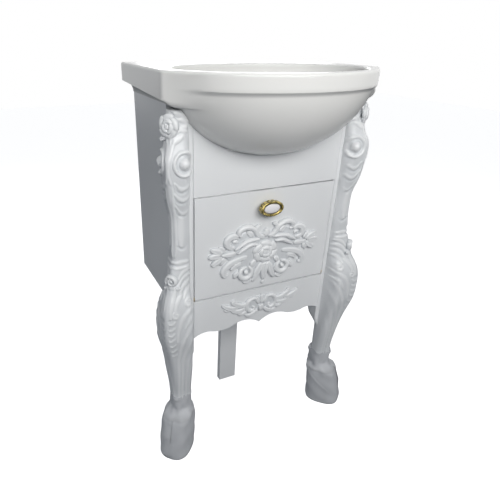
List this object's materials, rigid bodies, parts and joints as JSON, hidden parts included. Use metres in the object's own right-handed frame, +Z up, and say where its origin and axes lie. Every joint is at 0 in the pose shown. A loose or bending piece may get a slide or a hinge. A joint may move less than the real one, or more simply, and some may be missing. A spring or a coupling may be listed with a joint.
{
  "type": "vanity unit",
  "caption": "Washstand vanity unit with a bowed ceramic basin on a painted cabinet, carved cabriole front legs, a board rear leg and a fall-front door.",
  "frame": {"origin": "on the floor, under the middle of the unit's bounding box", "axes": "the front faces -Y and the wall side +Y, +Z is up, +X is to the right of someone looking at the front"},
  "size_m": [0.5224, 0.387, 0.85],
  "materials": {
    "painted_wood": "satin white paint",
    "basin_glaze": "gloss white glaze",
    "knob_glaze": "gloss porcelain",
    "gilt_brass": "aged gilt",
    "bush_brass": "turned",
    "steel": "zinc plated",
    "catch_plastic": "moulded",
    "cover_foam": "grey protective sheet",
    "beech": "bare beech"
  },
  "bodies": {
    "cabinet": {"basin": "basin_glaze", "side_panel_left": "painted_wood", "side_panel_right": "painted_wood", "bottom_panel": "painted_wood", "upper_back_rail": "painted_wood", "lower_back_rail": "painted_wood", "fascia_panel": "painted_wood", "apron_panel": "painted_wood", "apron_carving": "painted_wood", "front_leg_left": "painted_wood", "front_leg_right": "painted_wood", "foot_cover_left": "cover_foam", "foot_cover_right": "cover_foam", "board_leg": "painted_wood", "support_bracket": "steel", "support_bracket_screws": "steel", "joint_dowels": "beech", "pivot_bush_left": "bush_brass", "pivot_bush_right": "bush_brass", "stay_guide_left": "catch_plastic", "stay_guide_right": "catch_plastic", "guide_screws": "steel", "magnetic_catch": "catch_plastic", "catch_screws": "steel"},
    "door": {"door_panel": "painted_wood", "door_carving": "painted_wood", "knob_body": "gilt_brass", "knob_insert": "knob_glaze", "knob_screw": "steel", "strike_plate": "steel", "strike_screw": "steel", "pivot_pins": "steel", "quadrant_stay_left": "steel", "quadrant_stay_right": "steel", "stay_screws": "steel"}
  },
  "joints": [
    {"name": "door_hinge", "type": "hinge", "parent": "cabinet", "child": "door", "pos_m": [0, -0.051, 0.396], "axis": [1, 0, 0], "range_deg": [0, 80]}
  ]
}
